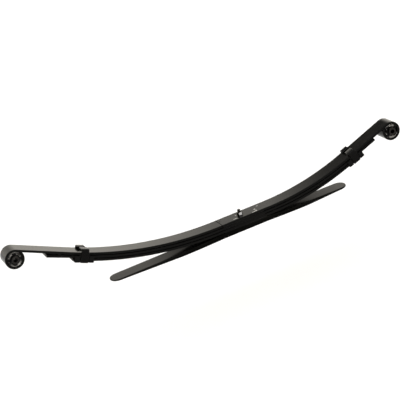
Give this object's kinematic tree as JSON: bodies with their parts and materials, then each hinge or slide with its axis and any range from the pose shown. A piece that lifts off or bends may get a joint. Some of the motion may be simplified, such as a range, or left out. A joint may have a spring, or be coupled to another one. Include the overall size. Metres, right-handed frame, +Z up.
{
  "type": "leaf spring",
  "caption": "Vehicle leaf spring pack with downturned bushed eyes, rebound clips, a centre bolt and a thick, nearly flat overload leaf.",
  "frame": {"origin": "centre of the underside of the centre bolt's locating head, on the bolt's axis", "axes": "+X along the spring towards its short front arm, +Y along the eye bushings towards the vehicle's left, +Z up through the centre bolt"},
  "size_m": [1.4084, 0.08, 0.2431],
  "materials": {
    "leaf_paint": "semi-gloss black paint over steel",
    "clip_paint": "satin black paint over steel",
    "fastener_steel": "dark phosphated steel",
    "spacer_paint": "satin black paint",
    "liner_rubber": "matte black",
    "pad_plastic": "matte black",
    "shell_steel": "bare steel",
    "bushing_rubber": "matte black",
    "sleeve_steel": "bare steel"
  },
  "bodies": {
    "leaf_pack": {"main_leaf": "leaf_paint", "second_leaf": "leaf_paint", "third_leaf": "leaf_paint", "overload_leaf": "leaf_paint", "rear_clip_strap": "clip_paint", "front_clip_strap": "clip_paint", "rear_clip_rivet": "clip_paint", "front_clip_rivet": "clip_paint", "centre_bolt": "fastener_steel", "centre_bolt_nut": "fastener_steel", "lower_seat_spacer": "spacer_paint", "middle_seat_spacer": "spacer_paint", "upper_seat_spacer": "spacer_paint", "rear_clip_liner": "liner_rubber", "front_clip_liner": "liner_rubber", "second_leaf_rear_pad": "pad_plastic", "second_leaf_front_pad": "pad_plastic", "third_leaf_rear_pad": "pad_plastic", "third_leaf_front_pad": "pad_plastic", "rear_bushing_shell": "shell_steel", "front_bushing_shell": "shell_steel", "rear_bushing_rubber": "bushing_rubber", "front_bushing_rubber": "bushing_rubber"},
    "rear_sleeve": {"rear_bushing_sleeve": "sleeve_steel"},
    "front_sleeve": {"front_bushing_sleeve": "sleeve_steel"}
  },
  "joints": [
    {"name": "rear_eye_twist", "type": "hinge", "parent": "leaf_pack", "child": "rear_sleeve", "pos_m": [-0.75946, 0, 0.2112], "axis": [0, 1, 0], "range_deg": [-20, 20], "stiffness_Nm_per_rad": 60},
    {"name": "front_eye_twist", "type": "hinge", "parent": "leaf_pack", "child": "front_sleeve", "pos_m": [0.58504, 0, 0.1381], "axis": [0, 1, 0], "range_deg": [-20, 20], "stiffness_Nm_per_rad": 60}
  ]
}
